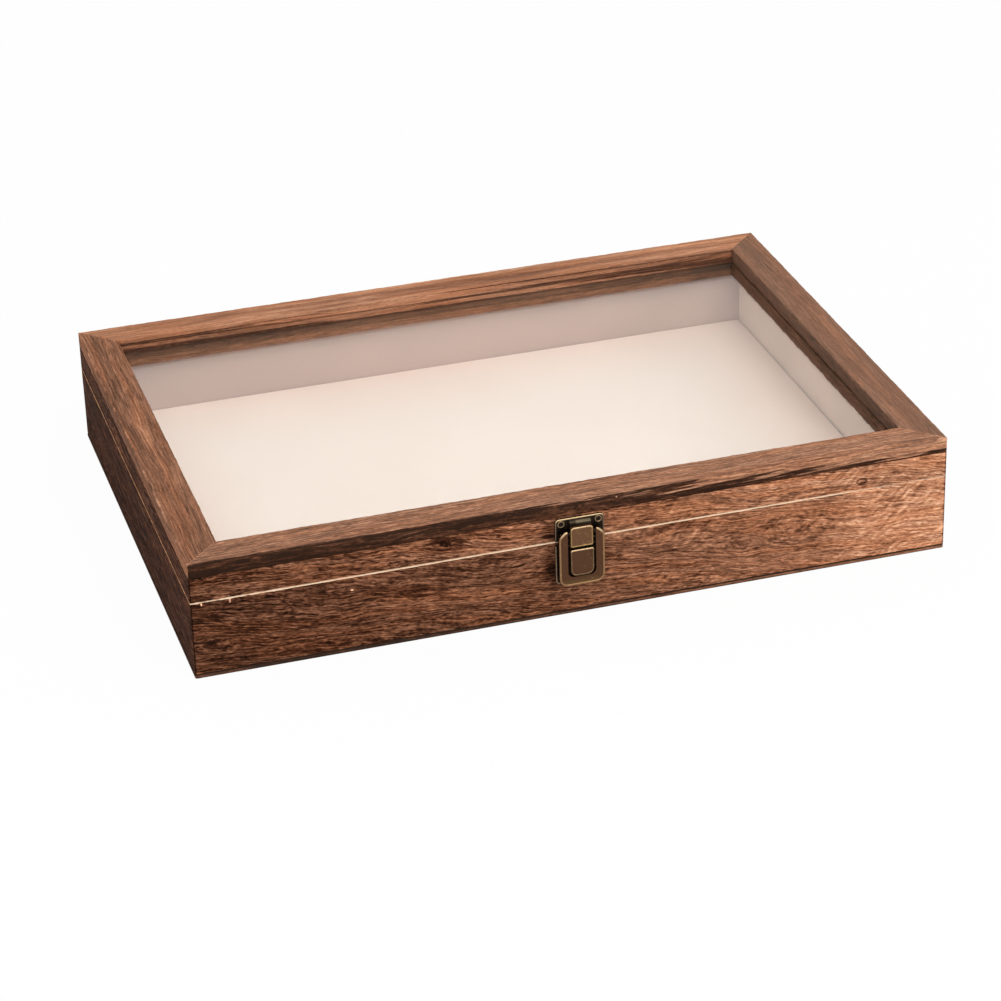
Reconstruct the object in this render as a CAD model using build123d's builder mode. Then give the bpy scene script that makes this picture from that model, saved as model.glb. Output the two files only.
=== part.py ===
from build123d import *
import os

# Insect display case: a shallow wooden box with a hinged, glazed lid and a toggle latch.
# Millimetres. The origin is the centre of the footprint on the surface the case stands on.
# X runs along the front, Y from the front to the back, Z up.

os.makedirs("parts", exist_ok=True)

# Case
case_length = 310.0
case_depth = 220.0
case_height = 50.0
lid_height = 17.0
wall_thickness = 8.0
corner_ease = 0.8
edge_ease = 0.6

# Bottom board, lining and pinning pad
board_thickness = 1.8
board_corner = 0.8
board_ease = 0.5
lining_thickness = 1.0
lining_setback = 0.4
pad_thickness = 9.2
pad_gap = 0.25

# Lid frame, glass and the beads that hold it
frame_width = 15.0
frame_thickness = 6.5
glass_thickness = 2.0
glass_gap = 0.6
bead_height = 6.5
bead_ease = 0.8

# Hinges
hinge_spread = 190.0
hinge_width = 24.0
leaf_height = 11.0
leaf_thickness = 0.9
leaf_corner = 1.2
knuckle_radius = 1.9
hinge_pin_radius = 1.0
hinge_pin_head = 1.5
hinge_pin_head_length = 0.8
hinge_fit = 0.05
knuckle_gap = 0.25
knuckle_share = 8.0
knuckle_relief = 0.4
knuckle_standoff = 0.15
hinge_screw_spread = 14.0
hinge_screw_drop = 7.0

# Countersunk wood screws of the hinges
screw_head_radius = 1.7
screw_shank_radius = 0.8
screw_length = 6.5

# Round nails of the latch
nail_head_radius = 0.95
nail_head_height = 0.3
nail_shank_radius = 0.6
nail_length = 6.0
eyelet_width = 0.6
eyelet_height = 0.35

# Latch plates
latch_half_width = 10.0
plate_thickness = 0.8
plate_corner = 1.6
plate_seam_gap = 1.2
keeper_height = 9.6
keeper_seam_gap = 0.4
base_plate_height = 17.3
keeper_nail_spread = 15.2
keeper_nail_drop = 2.1
base_nail_spread = 12.5
base_nail_rise = 3.4

# Latch lever
lever_half_width = 9.15
lever_thickness = 1.6
lever_standoff = 1.3
arm_width = 3.4
lever_reach = 22.6
lever_foot = 3.7
lever_corner = 3.8
window_corner = 2.4
shoulder_cut = 2.2
panel_gap = 0.6
panel_side_gap = 1.0
panel_height = 11.5
panel_raise = 0.5
panel_corner = 2.8
web_thickness = 0.5
web_edge = 0.9
lever_knuckle_radius = 1.3
lever_edge_ease = 0.35
lever_fit = 0.05

# Lever pivot, held in two ears of the base plate
pivot_rise = 4.1
pivot_standoff = 2.2
pivot_pin_radius = 0.6
ear_thickness = 0.6
ear_gap = 0.15
ear_depth = 1.2
ear_root = 6.0
ear_head_radius = 1.0
ear_neck_drop = 2.6

# Latch tongue
tongue_half_width = 4.6
tongue_thickness = 0.8
tongue_corner = 1.0
tongue_pivot_drop = 5.2
tongue_pivot_inset = 0.3
tongue_pin_radius = 0.5
tongue_eye_radius = 1.15
tongue_top_above_seam = 7.0
lip_thickness = 0.8
lip_gap = 0.3
lip_clearance = 0.35

# Keeper hook under the lip of the tongue
hook_half_width = 4.3
hook_boss_depth = 1.3
hook_boss_top = 9.0
hook_shelf_thickness = 1.0
hook_shelf_gap = 0.2

# Working values
half_length = case_length / 2
half_depth = case_depth / 2
seam_z = case_height - lid_height
frame_bottom = case_height - frame_thickness
inner_length = case_length - 2 * wall_thickness
inner_depth = case_depth - 2 * wall_thickness
lined_length = inner_length - 2 * lining_thickness
lined_depth = inner_depth - 2 * lining_thickness
glass_bottom = frame_bottom - glass_thickness
bead_bottom = glass_bottom - bead_height

hinge_y = half_depth + knuckle_radius + knuckle_standoff
front_y = -half_depth
plate_front = front_y - plate_thickness
lever_back = plate_front - lever_standoff
lever_front = lever_back - lever_thickness
pivot_y = plate_front - pivot_standoff
pivot_z = seam_z + pivot_rise
tongue_y = pivot_y + tongue_pivot_inset
tongue_z = pivot_z - tongue_pivot_drop
tongue_front = tongue_y - tongue_eye_radius
tongue_back = tongue_front + tongue_thickness
tongue_top = seam_z + tongue_top_above_seam
lever_top = pivot_z + lever_knuckle_radius
lever_bottom = pivot_z - lever_reach
window_half_width = lever_half_width - arm_width
window_bottom = lever_bottom + lever_foot
panel_bottom = window_bottom + panel_gap
panel_half_width = window_half_width - panel_side_gap
panel_top = panel_bottom + panel_height
keeper_bottom = seam_z + keeper_seam_gap
keeper_top = keeper_bottom + keeper_height
base_plate_top = seam_z - plate_seam_gap
base_plate_bottom = base_plate_top - base_plate_height
keeper_nail_z = keeper_top - keeper_nail_drop
base_nail_z = base_plate_bottom + base_nail_rise
boss_front = plate_front - hook_boss_depth
lip_back = boss_front - lip_clearance
shelf_front = tongue_back + hook_shelf_gap
shelf_top = tongue_top - lip_thickness - lip_gap
ear_front = plate_front - ear_depth
ear_inner = tongue_half_width + ear_gap

# Each side as the name, the direction along which it lies and the sign of its outward normal
SIDES = {
    "front": ("x", -1),
    "back": ("x", 1),
    "left": ("y", -1),
    "right": ("y", 1),
}
HINGE_SIDES = {"left": -1, "right": 1}


def save(part, name):
    part.label = name
    export_step(part, f"parts/{name}.step")


def sector(side):
    """Corner points of the quarter of the plan, cut on the mitre lines, that belongs to one side."""
    along, sign = SIDES[side]
    x, y = half_length, half_depth
    run = y
    if along == "x":
        return [(-x, sign * y), (x, sign * y), (x - run, 0), (-x + run, 0)]
    return [(sign * x, -y), (sign * x, y), (sign * (x - run), 0)]


def mitred_side(side, width, bottom, top, inset=0.0, corner=0.0):
    """One mitred side of a rectangular ring, as wide as `width`, `inset` in from the case's outline."""
    length = case_length - 2 * inset
    depth = case_depth - 2 * inset
    with BuildPart() as piece:
        with BuildSketch(Plane.XY.offset(bottom)):
            if corner > 0:
                RectangleRounded(length, depth, corner)
            else:
                Rectangle(length, depth)
            Rectangle(length - 2 * width, depth - 2 * width, mode=Mode.SUBTRACT)
            with BuildLine():
                Polyline(*sector(side), close=True)
            make_face(mode=Mode.INTERSECT)
        extrude(amount=top - bottom)
    return piece


def long_edge(piece, side, at_top, offset):
    """The straight top or bottom edge of a side that lies `offset` in from the case's outline."""
    along, sign = SIDES[side]
    if along == "x":
        band = piece.edges().filter_by(Axis.X).group_by(Axis.Z)[-1 if at_top else 0]
        place = sign * (half_depth - offset)
        return band.sort_by(lambda edge: abs(edge.center().Y - place))[0]
    band = piece.edges().filter_by(Axis.Y).group_by(Axis.Z)[-1 if at_top else 0]
    place = sign * (half_length - offset)
    return band.sort_by(lambda edge: abs(edge.center().X - place))[0]


def pilot_holes(places, y, radius, depth):
    """Blind holes in the front or the back face of the part in work, at each (x, z)."""
    outward = 1 if y > 0 else -1
    with Locations(*[Plane((x, y, z), x_dir=(1, 0, 0), z_dir=(0, outward, 0)) for x, z in places]):
        Cylinder(radius, depth, align=(Align.CENTER, Align.CENTER, Align.MAX), mode=Mode.SUBTRACT)


def hinge_screw_places(half):
    """The (x, z) of every hinge screw below (-1) or above (1) the seam."""
    return [
        (sign * hinge_spread / 2 + dx, seam_z + half * hinge_screw_drop)
        for sign in HINGE_SIDES.values()
        for dx in (-hinge_screw_spread / 2, hinge_screw_spread / 2)
    ]


def nail_places(spread, z):
    """The (x, z) of the two nails of a latch plate."""
    return [(-spread / 2, z), (spread / 2, z)]


screw_hole_depth = screw_length - leaf_thickness
nail_hole_depth = nail_length - plate_thickness

# Base: four walls on a bottom board
for side in SIDES:
    wall = mitred_side(side, wall_thickness, board_thickness, seam_z, corner=corner_ease)
    with BuildPart() as base_wall:
        add(wall.part)
        if side == "back":
            pilot_holes(hinge_screw_places(-1), half_depth, screw_shank_radius, screw_hole_depth)
        if side == "front":
            pilot_holes(nail_places(base_nail_spread, base_nail_z), front_y, nail_shank_radius, nail_hole_depth)
    save(base_wall.part, f"base_{side}_wall")

with BuildPart() as bottom_board:
    with BuildSketch():
        RectangleRounded(case_length, case_depth, board_corner)
    extrude(amount=board_thickness)
    fillet(bottom_board.faces().sort_by(Axis.Z)[0].edges(), board_ease)
save(bottom_board.part, "bottom_board")

# Lining glued to the walls, and the pad that pins go into
for side in SIDES:
    lining = mitred_side(side, lining_thickness, board_thickness, seam_z - lining_setback,
                         inset=wall_thickness)
    save(lining.part, f"lining_{side}")

with BuildPart() as pinning_pad:
    with BuildSketch(Plane.XY.offset(board_thickness)):
        Rectangle(lined_length - 2 * pad_gap, lined_depth - 2 * pad_gap)
    extrude(amount=pad_thickness)
save(pinning_pad.part, "pinning_pad")

# Lid: a mitred frame over four rim sides, with the glass held between the frame and the beads
for side in SIDES:
    rim = mitred_side(side, wall_thickness, seam_z, frame_bottom, corner=corner_ease)
    with BuildPart() as lid_rim:
        add(rim.part)
        if side == "back":
            pilot_holes(hinge_screw_places(1), half_depth, screw_shank_radius, screw_hole_depth)
        if side == "front":
            pilot_holes(nail_places(keeper_nail_spread, keeper_nail_z), front_y, nail_shank_radius,
                        nail_hole_depth)
    save(lid_rim.part, f"lid_rim_{side}")

    frame_side = mitred_side(side, frame_width, frame_bottom, case_height, corner=corner_ease)
    with BuildPart() as lid_frame:
        add(frame_side.part)
        fillet(long_edge(lid_frame, side, True, 0.0), edge_ease)
    save(lid_frame.part, f"lid_frame_{side}")

    bead_width = frame_width - wall_thickness
    bead_side = mitred_side(side, bead_width, bead_bottom, glass_bottom, inset=wall_thickness)
    with BuildPart() as glass_bead:
        add(bead_side.part)
        fillet(long_edge(glass_bead, side, False, frame_width), bead_ease)
    save(glass_bead.part, f"glass_bead_{side}")

with BuildPart() as glass_pane:
    with BuildSketch(Plane.XY.offset(glass_bottom)):
        Rectangle(inner_length - 2 * glass_gap, inner_depth - 2 * glass_gap)
    extrude(amount=glass_thickness)
save(glass_pane.part, "glass_pane")


# Hinges: surface butt hinges on the back, their pins on the seam line
def hinge_leaf(centre, half, name):
    """A leaf with its share of the knuckles: two outer ones below the seam, the middle one above."""
    is_lid = half > 0
    spans = [(-knuckle_share / 2 + knuckle_gap / 2, knuckle_share / 2 - knuckle_gap / 2)]
    if not is_lid:
        outer = hinge_width / 2
        inner = knuckle_share / 2 + knuckle_gap / 2
        spans = [(-outer, -inner), (inner, outer)]
    relief = knuckle_radius + knuckle_relief
    with BuildPart() as leaf:
        with BuildSketch(Plane((centre, half_depth, seam_z), x_dir=(1, 0, 0), z_dir=(0, -1, 0))):
            with Locations((0, half * leaf_height / 2)):
                RectangleRounded(hinge_width, leaf_height, leaf_corner)
            with Locations((0, half * relief / 2)):
                Rectangle(hinge_width, relief, mode=Mode.SUBTRACT)
            for low, high in spans:
                with Locations(((low + high) / 2, half * relief)):
                    Rectangle(high - low, 2 * relief)
            with Locations((0, -half * relief)):
                Rectangle(hinge_width, 2 * relief, mode=Mode.SUBTRACT)
        extrude(amount=-leaf_thickness)
        for low, high in spans:
            with BuildSketch(Plane((centre + low, hinge_y, seam_z), x_dir=(0, 1, 0), z_dir=(1, 0, 0))):
                Circle(knuckle_radius)
            extrude(amount=high - low)
        with Locations(Plane((centre, hinge_y, seam_z), z_dir=(1, 0, 0))):
            Cylinder(hinge_pin_radius + (hinge_fit if is_lid else 0.0), 2 * hinge_width,
                     mode=Mode.SUBTRACT)
        with Locations(*[
            Plane((centre + dx, half_depth + leaf_thickness, seam_z + half * hinge_screw_drop),
                  x_dir=(1, 0, 0), z_dir=(0, 1, 0))
            for dx in (-hinge_screw_spread / 2, hinge_screw_spread / 2)
        ]):
            CounterSinkHole(screw_shank_radius, screw_head_radius, 3 * leaf_thickness)
    save(leaf.part, name)


def hinge_pin(centre, name):
    """A plain pin the width of the hinge, with a button head at each end."""
    with BuildPart() as pin:
        with BuildSketch(Plane((centre - hinge_width / 2, hinge_y, seam_z), z_dir=(1, 0, 0))):
            Circle(hinge_pin_radius)
        extrude(amount=hinge_width)
        for end, way in ((-hinge_width / 2, -1), (hinge_width / 2, 1)):
            with BuildSketch(Plane((centre + end, hinge_y, seam_z), z_dir=(way, 0, 0))):
                Circle(hinge_pin_head)
            extrude(amount=hinge_pin_head_length)
            fillet(pin.faces().sort_by(Axis.X)[0 if way < 0 else -1].edges(), 0.5 * hinge_pin_head_length)
    save(pin.part, name)


def wood_screws(places, name):
    """Countersunk screws whose heads lie flush with the leaf that they hold."""
    cone = screw_head_radius - screw_shank_radius
    with BuildPart() as screws:
        for x, z in places:
            with BuildSketch(Plane((x, half_depth + leaf_thickness, z), x_dir=(1, 0, 0), z_dir=(0, -1, 0))):
                Circle(screw_shank_radius)
            extrude(amount=screw_length)
            with Locations(Plane((x, half_depth + leaf_thickness, z), z_dir=(0, -1, 0))):
                Cone(screw_head_radius, screw_shank_radius, cone,
                     align=(Align.CENTER, Align.CENTER, Align.MIN))
    save(screws.part, name)


for hinge_name, sign in HINGE_SIDES.items():
    hinge_x = sign * hinge_spread / 2
    hinge_leaf(hinge_x, -1, f"hinge_base_leaf_{hinge_name}")
    hinge_leaf(hinge_x, 1, f"hinge_lid_leaf_{hinge_name}")
    hinge_pin(hinge_x, f"hinge_pin_{hinge_name}")
wood_screws(hinge_screw_places(-1), "hinge_base_screws")
wood_screws(hinge_screw_places(1), "hinge_lid_screws")


# Toggle latch on the front
def front_plane(x, y, z):
    """A plane that faces the front, with its X to the right and its Y up."""
    return Plane((x, y, z), x_dir=(1, 0, 0), z_dir=(0, -1, 0))


def side_plane(x):
    """A plane across the case, with its X to the back and its Y up."""
    return Plane((x, 0, 0), x_dir=(0, 1, 0), z_dir=(1, 0, 0))


def nails(places, name):
    """Round-headed nails through a latch plate, each head inside its eyelet."""
    with BuildPart() as pair:
        for x, z in places:
            with BuildSketch(front_plane(x, plate_front, z)):
                Circle(nail_head_radius)
            extrude(amount=nail_head_height)
            with BuildSketch(front_plane(x, plate_front, z)):
                Circle(nail_shank_radius)
            extrude(amount=-nail_length)
    save(pair.part, name)


def plate_with_eyelets(bottom, top, places, rounded):
    """A flat plate on the front, its top (-1) or bottom (0) corners rounded, with an eyelet per nail."""
    with BuildPart() as plate:
        with BuildSketch(front_plane(0, front_y, 0)):
            with Locations((0, (bottom + top) / 2)):
                Rectangle(2 * latch_half_width, top - bottom)
        extrude(amount=plate_thickness)
        corners = plate.edges().filter_by(Axis.Y).group_by(Axis.Z)[rounded]
        fillet(corners, plate_corner)
        for x, nail_z in places:
            with BuildSketch(front_plane(x, plate_front, nail_z)):
                Circle(nail_head_radius + eyelet_width)
            extrude(amount=eyelet_height)
            with BuildSketch(front_plane(x, plate_front, nail_z)):
                Circle(nail_head_radius)
            extrude(amount=eyelet_height, mode=Mode.SUBTRACT)
            with BuildSketch(front_plane(x, plate_front, nail_z)):
                Circle(nail_shank_radius)
            extrude(amount=-plate_thickness, mode=Mode.SUBTRACT)
    return plate


keeper_nails = nail_places(keeper_nail_spread, keeper_nail_z)
base_nails = nail_places(base_nail_spread, base_nail_z)
keeper_plate = plate_with_eyelets(keeper_bottom, keeper_top, keeper_nails, -1)
with BuildPart() as latch_keeper:
    add(keeper_plate.part)
    with BuildSketch(side_plane(-hook_half_width)):
        with BuildLine():
            Polyline(
                (plate_front, shelf_top - hook_shelf_thickness),
                (shelf_front, shelf_top - hook_shelf_thickness),
                (shelf_front, shelf_top),
                (boss_front, shelf_top),
                (boss_front, seam_z + hook_boss_top - hook_boss_depth / 2),
                (plate_front, seam_z + hook_boss_top),
                close=True,
            )
        make_face()
    extrude(amount=2 * hook_half_width)
save(latch_keeper.part, "latch_keeper")
nails(keeper_nails, "latch_keeper_nails")

lower_plate = plate_with_eyelets(base_plate_bottom, base_plate_top, base_nails, 0)
with BuildPart() as latch_base_plate:
    add(lower_plate.part)
    for low in (-ear_inner - ear_thickness, ear_inner):
        with BuildSketch(side_plane(low)):
            with BuildLine():
                Polyline(
                    (plate_front, base_plate_top - ear_root),
                    (ear_front, base_plate_top - ear_root),
                    (ear_front, pivot_z - ear_neck_drop),
                    (pivot_y - ear_head_radius, pivot_z),
                    (pivot_y, pivot_z + ear_head_radius),
                    (plate_front - ear_gap, pivot_z),
                    (plate_front - ear_gap, base_plate_top),
                    (plate_front, base_plate_top),
                    close=True,
                )
            make_face()
            with Locations((pivot_y, pivot_z)):
                Circle(ear_head_radius)
                Circle(pivot_pin_radius, mode=Mode.SUBTRACT)
        extrude(amount=ear_thickness)
save(latch_base_plate.part, "latch_base_plate")
nails(base_nails, "latch_base_nails")

with BuildPart() as latch_pivot_pins:
    for low in (-lever_half_width + lever_edge_ease, ear_inner):
        with BuildSketch(side_plane(low)):
            with Locations((pivot_y, pivot_z)):
                Circle(pivot_pin_radius)
        extrude(amount=lever_half_width - lever_edge_ease - ear_inner)
save(latch_pivot_pins.part, "latch_pivot_pins")

with BuildPart() as latch_lever:
    with BuildSketch(front_plane(0, lever_back, 0)):
        with Locations((0, (lever_bottom + pivot_z) / 2)):
            Rectangle(2 * lever_half_width, pivot_z - lever_bottom)
        with Locations((0, (window_bottom + lever_top) / 2 + window_corner)):
            RectangleRounded(
                2 * window_half_width,
                lever_top - window_bottom + 2 * window_corner,
                window_corner,
                mode=Mode.SUBTRACT,
            )
    extrude(amount=lever_thickness)
    for low in (-lever_half_width, window_half_width):
        with BuildSketch(side_plane(low)):
            with Locations((pivot_y, pivot_z)):
                Circle(lever_knuckle_radius)
        extrude(amount=arm_width)
    with BuildSketch(front_plane(0, lever_back, 0)):
        with Locations((0, (window_bottom - web_edge + panel_top) / 2)):
            Rectangle(2 * (window_half_width + web_edge), panel_top - window_bottom + web_edge)
    extrude(amount=web_thickness)
    with BuildSketch(front_plane(0, lever_front - panel_raise, 0)) as panel:
        with Locations((0, (panel_bottom + panel_top) / 2)):
            Rectangle(2 * panel_half_width, panel_top - panel_bottom)
        fillet(panel.vertices().group_by(Axis.Y)[0], panel_corner)
    extrude(amount=-(lever_thickness + panel_raise))
    fillet(latch_lever.edges().filter_by(Axis.Y).group_by(Axis.Z)[0], lever_corner)
    with BuildSketch(front_plane(0, pivot_y - lever_knuckle_radius, 0)):
        for sign in (-1, 1):
            with BuildLine():
                Polyline(
                    (sign * lever_half_width, lever_top - shoulder_cut),
                    (sign * (lever_half_width - shoulder_cut), lever_top),
                    (sign * lever_half_width, lever_top),
                    close=True,
                )
            make_face()
    extrude(amount=-2 * lever_knuckle_radius, mode=Mode.SUBTRACT)
    with Locations(Plane((0, pivot_y, pivot_z), z_dir=(1, 0, 0))):
        Cylinder(pivot_pin_radius + lever_fit, 2 * lever_half_width, mode=Mode.SUBTRACT)
    with Locations(Plane((0, tongue_y, tongue_z), z_dir=(1, 0, 0))):
        Cylinder(tongue_pin_radius, 2 * (window_half_width + arm_width / 2), mode=Mode.SUBTRACT)
save(latch_lever.part, "latch_lever")

with BuildPart() as latch_tongue_pin:
    with Locations(Plane((0, tongue_y, tongue_z), z_dir=(1, 0, 0))):
        Cylinder(tongue_pin_radius, 2 * (window_half_width + arm_width / 2))
save(latch_tongue_pin.part, "latch_tongue_pin")

with BuildPart() as latch_tongue:
    with BuildSketch(side_plane(-tongue_half_width)):
        with Locations((tongue_y, tongue_z)):
            Circle(tongue_eye_radius)
        with BuildLine():
            Polyline(
                (tongue_front, tongue_z),
                (tongue_back, tongue_z),
                (tongue_back, tongue_top - lip_thickness),
                (lip_back, tongue_top - lip_thickness),
                (lip_back, tongue_top),
                (tongue_front, tongue_top),
                close=True,
            )
        make_face()
        with Locations((tongue_y, tongue_z)):
            Circle(tongue_pin_radius + lever_fit, mode=Mode.SUBTRACT)
    extrude(amount=2 * tongue_half_width)
    fillet(latch_tongue.edges().filter_by(Axis.Y).group_by(Axis.Z)[-1], tongue_corner)
save(latch_tongue.part, "latch_tongue")
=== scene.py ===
import math

import bmesh
import bpy
import numpy as np
from bpy.props import FloatProperty, FloatVectorProperty, PointerProperty
from mathutils import Matrix, Vector


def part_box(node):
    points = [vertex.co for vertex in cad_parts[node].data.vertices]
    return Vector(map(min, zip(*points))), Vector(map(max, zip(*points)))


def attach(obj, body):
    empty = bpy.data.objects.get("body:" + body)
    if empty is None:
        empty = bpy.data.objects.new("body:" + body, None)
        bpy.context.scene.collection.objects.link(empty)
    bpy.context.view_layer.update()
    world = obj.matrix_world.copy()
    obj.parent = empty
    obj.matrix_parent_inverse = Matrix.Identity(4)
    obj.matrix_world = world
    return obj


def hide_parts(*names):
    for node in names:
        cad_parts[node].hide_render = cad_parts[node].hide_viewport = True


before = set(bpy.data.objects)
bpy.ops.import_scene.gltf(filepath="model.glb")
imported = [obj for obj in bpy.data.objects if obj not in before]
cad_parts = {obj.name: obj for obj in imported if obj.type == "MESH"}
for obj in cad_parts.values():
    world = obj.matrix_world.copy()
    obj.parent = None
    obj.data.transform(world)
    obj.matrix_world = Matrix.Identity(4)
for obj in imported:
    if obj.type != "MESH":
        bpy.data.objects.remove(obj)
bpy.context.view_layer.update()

bl_info = {
    "name": "Insect display case",
    "version": (1, 0, 0),
    "blender": (4, 5, 0),
    "location": "3D View > Sidebar > Display case",
    "description": "Dresses a glazed wooden insect case: scorched wood, lining, pad, glass and bronze fittings",
    "category": "Add Mesh",
}

MM = 0.001

# The case as the frame gives it
BOARD_LOW, BOARD_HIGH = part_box("bottom_board")
HALF_LENGTH = BOARD_HIGH.x
HALF_DEPTH = BOARD_HIGH.y
SEAM_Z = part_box("base_front_wall")[1].z
TOP_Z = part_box("lid_frame_front")[1].z
FRAME_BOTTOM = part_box("lid_frame_front")[0].z
FRAME_WIDTH = HALF_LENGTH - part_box("lid_frame_right")[0].x

# The axis that each side runs along, and the sign of its place on the other axis
SIDES = {"front": ("x", -1), "back": ("x", 1), "left": ("y", -1), "right": ("y", 1)}

# The latch: faces and edges that lie inside the boxes of their nodes, and its rims
PLATE_FRONT = -110.8 * MM
LEVER_FRONT = -113.7 * MM
LEVER_WINDOW = 5.75 * MM
LEVER_SHOULDER = 2.2 * MM
PANEL_HALF = 4.75 * MM
PANEL_LOW = 18.8 * MM
PANEL_TOP = 30.3 * MM
TONGUE_LOW = 31.6 * MM
# The keeper's hook: a painted highlight on its lit top at the bend, on what stands out past HOOK_FRONT, faint
# as painted shade left of HOOK_LIT_FROM.
HOOK_BEND = 41.35 * MM
HOOK_LIT_FROM = -2.3 * MM
HOOK_FRONT = -HALF_DEPTH - 1.0 * MM
FOOT_PALE, FOOT_DARK = 14.8 * MM, 17.8 * MM
BASE_PLATE_TOP = 31.8 * MM
NAIL_X = 7.6 * MM
NAIL_DROP = 2.1 * MM
EYELET_RADIUS = 1.25 * MM
RIM_POINTS = 10
METAL_ANGLE = 35.0

# The screws of the hinges
SCREW_SPREAD = 14.0 * MM
SCREW_SHANK = 0.8 * MM
SCREW_RIM = 0.18 * MM
SCREW_CROSS = 0.35 * MM

# The planks: the steps of their meshes, their wear, and the radii of edges that no setting gives
SECTION_STEP = 1.6 * MM
ALONG_STEP = 1.5 * MM
AROUND_STEP = 1.1 * MM
WEAR_WAVES = (47 * MM, 19 * MM, 8.5 * MM, 4.3 * MM)
FACE_WEAR = 0.04 * MM
SHARP = 0.06 * MM
EASED = 0.1 * MM
ROUNDED = 0.2 * MM

# The photograph's camera, fitted to the case's corners, and the lamp and floor round the case
CAMERA_PLACE = (-0.34902, -1.20225, 0.65681)
CAMERA_RIGHT = Vector((0.95585, -0.29265, -0.02662))
CAMERA_DOWN = Vector((-0.15942, -0.44031, -0.88358))
CAMERA_FORWARD = Vector((0.24685, 0.84881, -0.46753))
SENSOR_WIDTH = 36.0
LAMP_PLACE = Vector((0.05, -1.15, 1.4))
LAMP_AIM = Vector((0, 0, 0.03))
LAMP_SIZE = 1.1
FLOOR_HALF = 4.0


def srgb(red, green, blue):
    """Linear colour of an sRGB colour given in 0 to 255."""
    channels = np.array([red, green, blue]) / 255
    linear = np.where(channels <= 0.04045, channels / 12.92, ((channels + 0.055) / 1.055) ** 2.4)
    return tuple(float(c) for c in linear)


# Settings that a user would change

def length_setting(name, description, millimetres):
    """A length whose default is given in millimetres."""
    return FloatProperty(name=name, description=description, default=millimetres * MM, unit="LENGTH")


def colour_setting(name, description, *channels):
    """A colour whose default is given as sRGB in 0 to 255."""
    return FloatVectorProperty(name=name, description=description, subtype="COLOR", default=srgb(*channels))


class WoodSettings(bpy.types.PropertyGroup):
    """Scorched and brushed wood of the base and the lid."""

    edge_round: length_setting("Edge rounding", "Radius of the planks' outer edges", 0.4)
    joint_round: length_setting("Joint rounding", "Radius of the edges where planks meet", 0.22)
    wear: length_setting("Edge wear", "Depth of the unevenness along the edges", 0.22)
    corner_ease: length_setting("Corner rounding", "Radius of the upright corners", 0.6)
    raw_line: length_setting("Raw line", "Height of the pale sawn edge at the seam", 0.5)
    raw_colour: colour_setting("Raw wood", "Colour of freshly sawn wood", 255, 226, 195)


class InsideSettings(bpy.types.PropertyGroup):
    """Lining, pad and glass."""

    lining_colour: colour_setting("Lining", "Colour of the lining paper", 186, 158, 145)
    # Painted light: the right wall's lining is a paler copy of the same paper, as if it were lit as well as the
    # back.
    pale_lining: colour_setting("Pale lining", "Colour of the lining on the right wall", 238, 216, 200)
    pad_colour: colour_setting("Pad", "Colour of the pad's cover", 249, 231, 220)
    pad_round: length_setting("Pad rounding", "Radius of the pad's upper edge", 0.9)
    glass_ior: FloatProperty(name="Glass index", description="Refractive index of the pane", default=1.45)


class MetalSettings(bpy.types.PropertyGroup):
    """Antique bronze of the latch and the hinges."""

    dark: colour_setting("Patina", "Colour of the dark patina", 96, 66, 48)
    satin: colour_setting("Satin", "Colour of the tongue", 118, 85, 61)
    # Painted highlight: the colour of the lit top of the keeper's hook.
    hook: colour_setting("Hook", "Colour of the keeper's hook", 128, 115, 92)
    worn: colour_setting("Worn metal", "Colour of the metal where it is rubbed bright", 176, 146, 106)
    # Painted highlight: the colour that the rims are brightened to along their upper runs.
    bright: colour_setting("Bright rim", "Colour of the rims' upper runs", 222, 192, 148)
    rim: length_setting("Rolled rim", "Radius of the rolled rims of the latch", 0.45)
    bevel: length_setting("Plate edge", "Bevel of the stamped plates", 0.12)


class StageSettings(bpy.types.PropertyGroup):
    """Floor, light and camera."""

    world: FloatProperty(name="Sky light", description="Strength of the even light", default=0.86)
    key: FloatProperty(name="Key light", description="Power of the large lamp above the front", default=15.5,
                       unit="POWER")
    lens: FloatProperty(name="Lens", description="Focal length of the camera", default=120.47, unit="CAMERA")


# Shader maths

class Wire:
    """An output socket that does number maths with the usual operators."""

    def __init__(self, graph, socket):
        self.graph = graph
        self.socket = socket

    def __add__(self, other):
        return self.graph.maths("ADD", self, other)

    __radd__ = __add__

    def __sub__(self, other):
        return self.graph.maths("SUBTRACT", self, other)

    def __rsub__(self, other):
        return self.graph.maths("SUBTRACT", other, self)

    def __mul__(self, other):
        return self.graph.maths("MULTIPLY", self, other)

    __rmul__ = __mul__

    def __truediv__(self, other):
        return self.graph.maths("DIVIDE", self, other)

    def __pow__(self, other):
        return self.graph.maths("POWER", self, other)


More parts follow.
